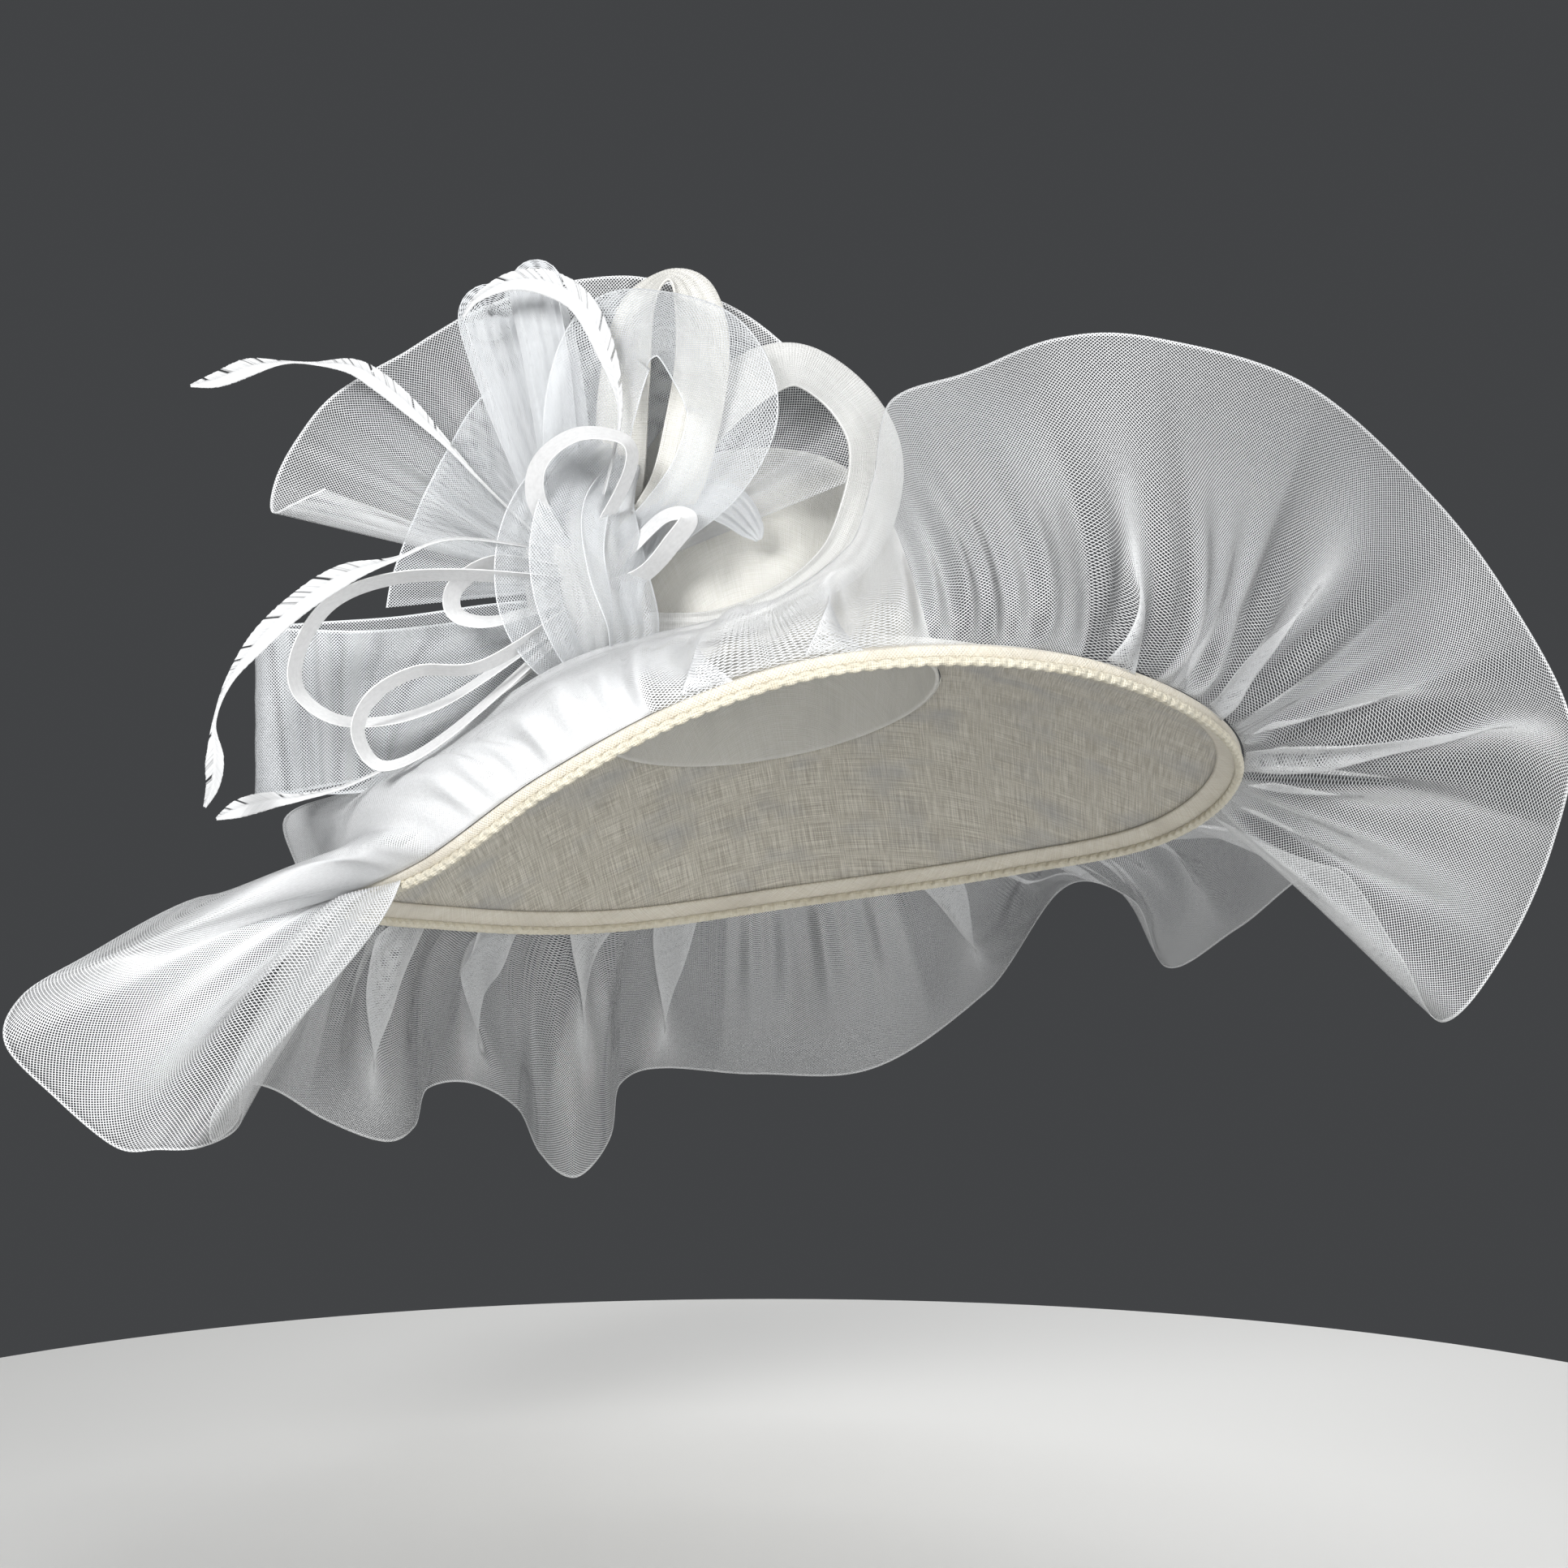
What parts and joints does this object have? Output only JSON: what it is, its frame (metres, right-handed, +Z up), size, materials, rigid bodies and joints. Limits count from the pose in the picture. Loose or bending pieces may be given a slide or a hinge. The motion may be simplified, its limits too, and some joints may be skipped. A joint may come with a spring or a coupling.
{
  "type": "wide-brimmed sinamay dress hat with crin ruffle",
  "caption": "Occasion hat: domed sinamay crown, dipping wide brim edged with a gathered crin ruffle, and a side bow of crin, sinamay, ribbon and feathers.",
  "frame": {"origin": "middle of the head opening, as the hat is worn", "axes": "+Z up; the wearer looks along -Y; +X is to the right of someone facing the hat"},
  "size_m": [0.7266, 0.5371, 0.4633],
  "materials": {
    "ivory_sinamay": "stiffened open straw weave, matt",
    "cream_binding": "bias strip with a braided cord at the rim, matt",
    "white_crin": "sheer diamond mesh of glossy thread",
    "white_feather": "trimmed feather vane, soft sheen"
  },
  "bodies": {
    "root": {"crown": "ivory_sinamay", "brim": "ivory_sinamay", "brim_binding": "cream_binding", "ruffle": "white_crin", "knot": "ivory_sinamay", "crin_fan": "white_crin", "crin_layer": "white_crin", "sinamay_loop_right": "ivory_sinamay", "sinamay_loop_top": "ivory_sinamay", "crin_loop_top": "white_crin", "crin_pleat_left": "white_crin", "crin_pleat_mid": "white_crin", "crin_loop_lower": "white_crin", "ribbon_loop_1": "white_crin", "ribbon_loop_2": "white_crin", "ribbon_loop_3": "white_crin", "ribbon_loop_4": "white_crin", "ribbon_loop_5": "white_crin", "feather_1": "white_feather", "feather_2": "white_feather", "feather_3": "white_feather", "feather_4": "white_feather"}
  },
  "joints": []
}
